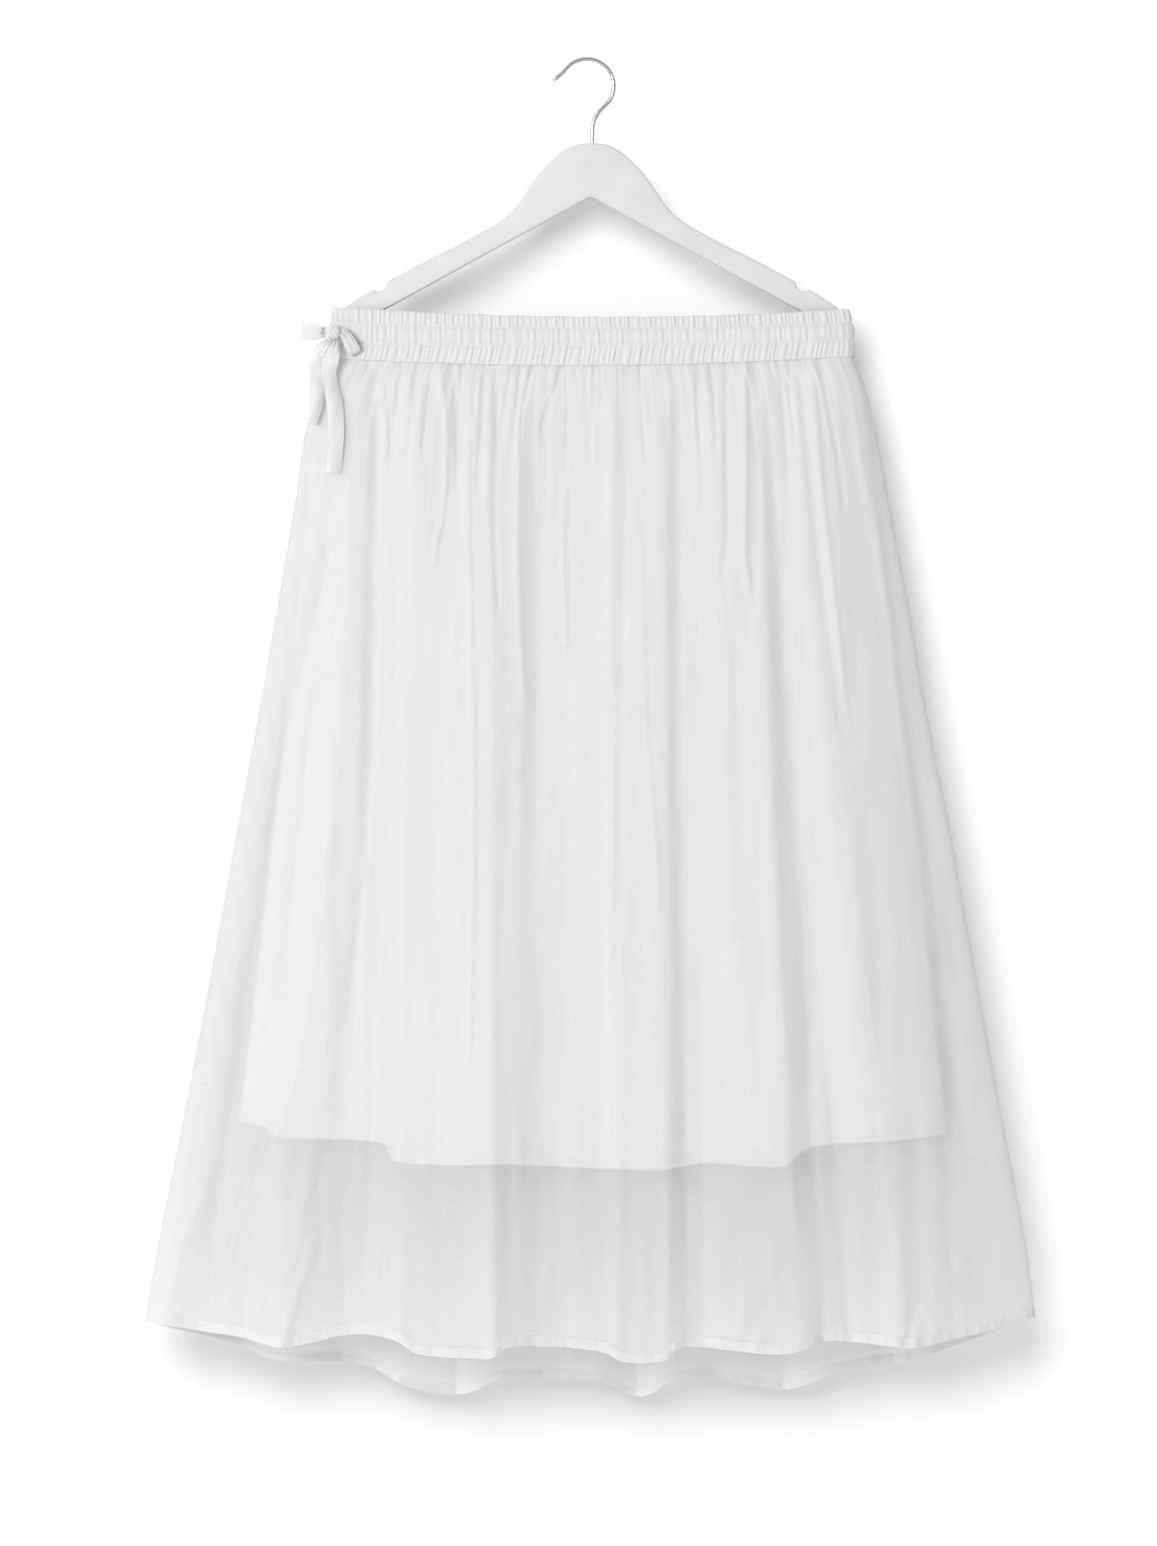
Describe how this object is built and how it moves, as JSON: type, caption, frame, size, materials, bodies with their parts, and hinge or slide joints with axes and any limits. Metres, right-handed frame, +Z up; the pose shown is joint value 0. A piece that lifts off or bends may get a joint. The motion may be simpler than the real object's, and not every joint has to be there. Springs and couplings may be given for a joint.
{
  "type": "gathered skirt on a hanger",
  "caption": "Long gathered voile skirt with a lining, an elasticated waistband and a drawstring bow, hanging on a flat wooden hanger with a wire hook.",
  "frame": {"origin": "inside of the hook's crest, where a rail carries the hanger", "axes": "+X to the viewer's right, +Y from the front of the skirt to its back, +Z up"},
  "size_m": [0.7654, 0.1043, 1.1527],
  "materials": {
    "voile": "sheer cotton voile, plain weave, matt",
    "lining": "closer cotton lawn, matt",
    "waistband": "shirred cotton voile over elastic",
    "tie": "folded cotton voile tie",
    "painted_wood": "white satin paint",
    "steel_wire": "polished wire"
  },
  "bodies": {
    "root": {"hanger_body": "painted_wood", "hanger_hook": "steel_wire", "waistband_front": "waistband", "waistband_back": "waistband", "skirt_front": "voile", "skirt_back": "voile", "lining_front": "lining", "lining_back": "lining", "tie_knot": "tie", "tie_loop_left": "tie", "tie_loop_right": "tie", "tie_tail_left": "tie", "tie_tail_right": "tie"}
  },
  "joints": []
}
